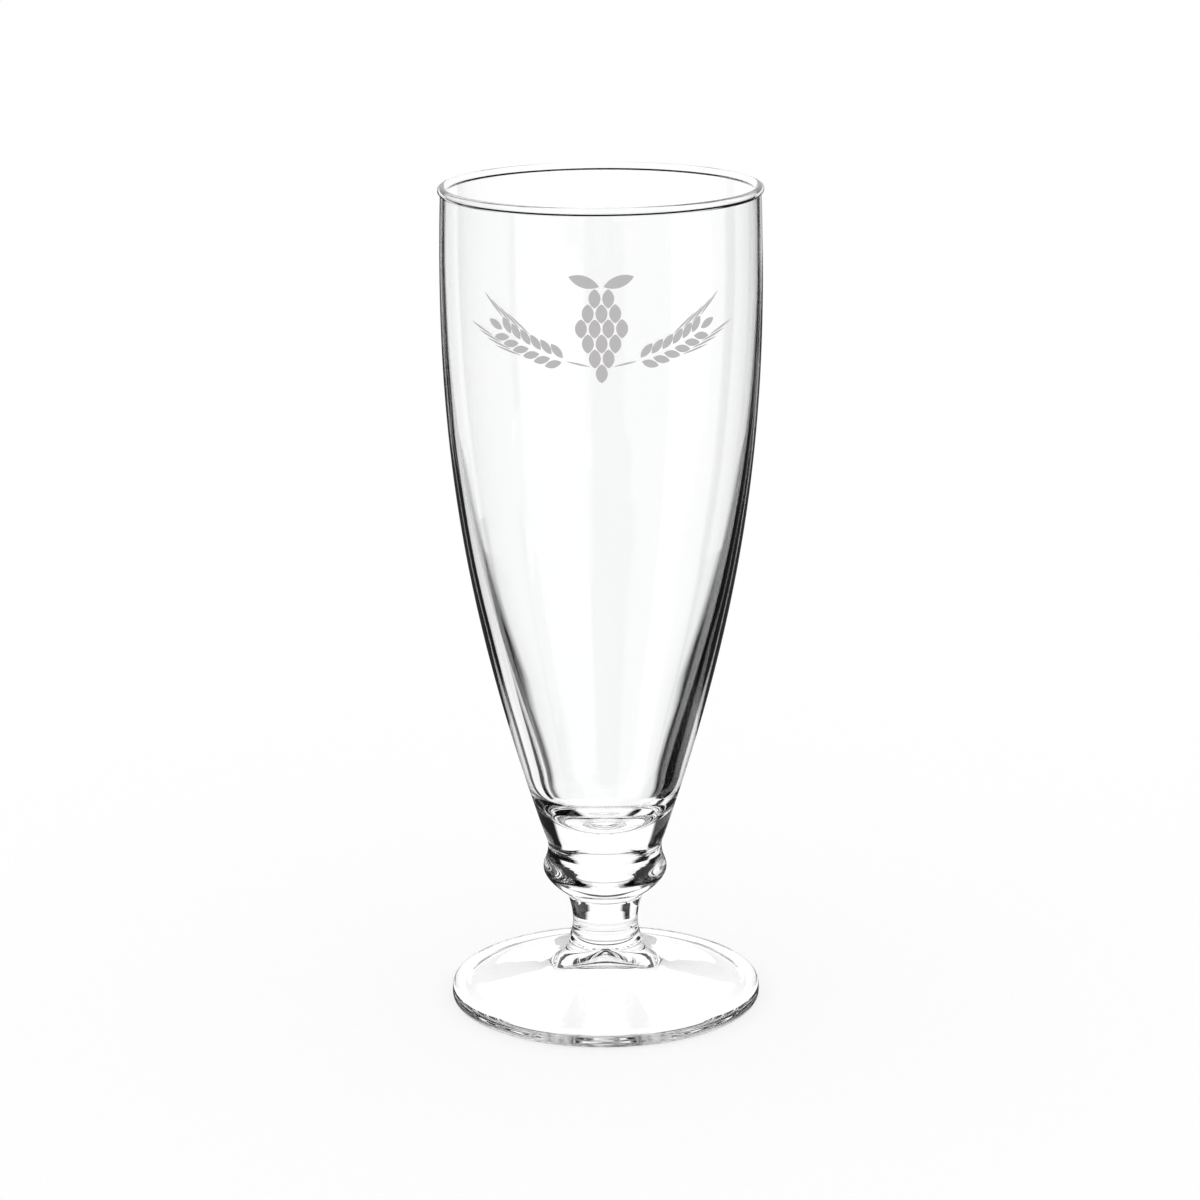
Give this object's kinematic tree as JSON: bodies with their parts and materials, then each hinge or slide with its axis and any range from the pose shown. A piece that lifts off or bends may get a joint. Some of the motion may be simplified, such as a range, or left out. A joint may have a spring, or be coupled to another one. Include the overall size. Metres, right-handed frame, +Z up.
{
  "type": "pilsner glass",
  "caption": "Tall footed beer glass: tapering clear bowl with a rolled rim and a solid base, on a ring knop, a short waisted stem and a round foot, with a grey barley and hop print.",
  "frame": {"origin": "on the glass's own axis, at the plane that the foot rests on", "axes": "+Z up along the axis, towards the rim; the print faces -Y; +X to the right as the print is read"},
  "size_m": [0.0738, 0.0738, 0.1942],
  "materials": {
    "clear_glass": "fire-polished, clear and colourless",
    "enamel": "fired-on pale grey enamel, slightly glossy"
  },
  "bodies": {
    "root": {"foot": "clear_glass", "stem": "clear_glass", "knop": "clear_glass", "bowl": "clear_glass", "print": "enamel"}
  },
  "joints": []
}
